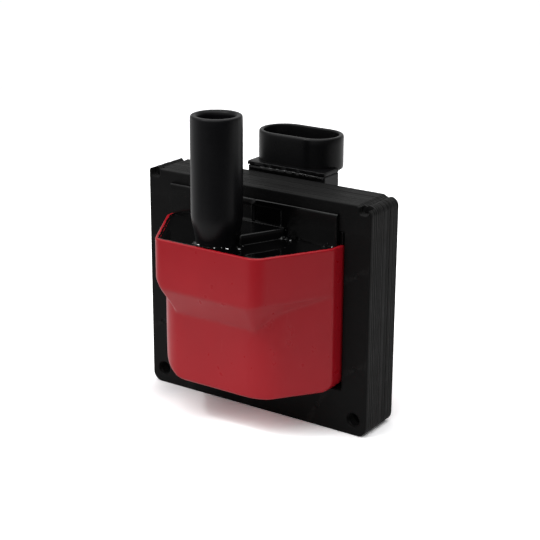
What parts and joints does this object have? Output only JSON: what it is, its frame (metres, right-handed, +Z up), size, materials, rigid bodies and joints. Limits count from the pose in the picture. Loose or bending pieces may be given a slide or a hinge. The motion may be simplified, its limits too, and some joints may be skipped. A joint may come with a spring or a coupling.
{
  "type": "ignition coil",
  "caption": "Laminated-core ignition coil: a potted cup on an iron frame with an upright high-voltage tower and an oval primary connector.",
  "frame": {"origin": "centre of the underside of the iron core, on the surface the coil stands on", "axes": "+Z up along the high-voltage tower, +X along the width of the core, -Y towards the side with the tower, +Y towards the side with the connector"},
  "size_m": [0.076, 0.0576, 0.0906],
  "materials": {
    "core_e_laminations": "black semi-matte paint over stacked steel laminations",
    "core_i_laminations": "black semi-matte paint over stacked steel laminations",
    "core_gap_shim": "thin insulating sheet",
    "core_weld_left": "painted weld bead",
    "core_weld_right": "painted weld bead",
    "housing": "semi-gloss red moulded plastic",
    "potting_epoxy": "glossy black cast resin",
    "core_shield": "black plastic wetted by resin",
    "tower_base": "black plastic wetted by resin",
    "hv_tower": "satin black moulded plastic",
    "hv_terminal": "machined brass",
    "hv_lead": "enamelled copper wire",
    "primary_bobbin": "natural nylon",
    "primary_winding": "enamelled copper wire",
    "primary_wrap": "insulating tape",
    "secondary_bobbin": "natural nylon",
    "secondary_winding": "fine enamelled copper wire",
    "secondary_wrap": "insulating tape",
    "connector_body": "satin black moulded plastic",
    "terminal_a": "tinned brass",
    "terminal_b": "tinned brass",
    "terminal_c": "tinned brass",
    "primary_lead_start": "enamelled copper wire",
    "primary_lead_finish": "enamelled copper wire",
    "secondary_ground_lead": "enamelled copper wire"
  },
  "bodies": {
    "root": {"core_e_laminations": "core_e_laminations", "core_i_laminations": "core_i_laminations", "core_gap_shim": "core_gap_shim", "core_weld_left": "core_weld_left", "core_weld_right": "core_weld_right", "housing": "housing", "potting_epoxy": "potting_epoxy", "core_shield": "core_shield", "tower_base": "tower_base", "hv_tower": "hv_tower", "hv_terminal": "hv_terminal", "hv_lead": "hv_lead", "primary_bobbin": "primary_bobbin", "primary_winding": "primary_winding", "primary_wrap": "primary_wrap", "secondary_bobbin": "secondary_bobbin", "secondary_winding": "secondary_winding", "secondary_wrap": "secondary_wrap", "connector_body": "connector_body", "terminal_a": "terminal_a", "terminal_b": "terminal_b", "terminal_c": "terminal_c", "primary_lead_start": "primary_lead_start", "primary_lead_finish": "primary_lead_finish", "secondary_ground_lead": "secondary_ground_lead"}
  },
  "joints": []
}
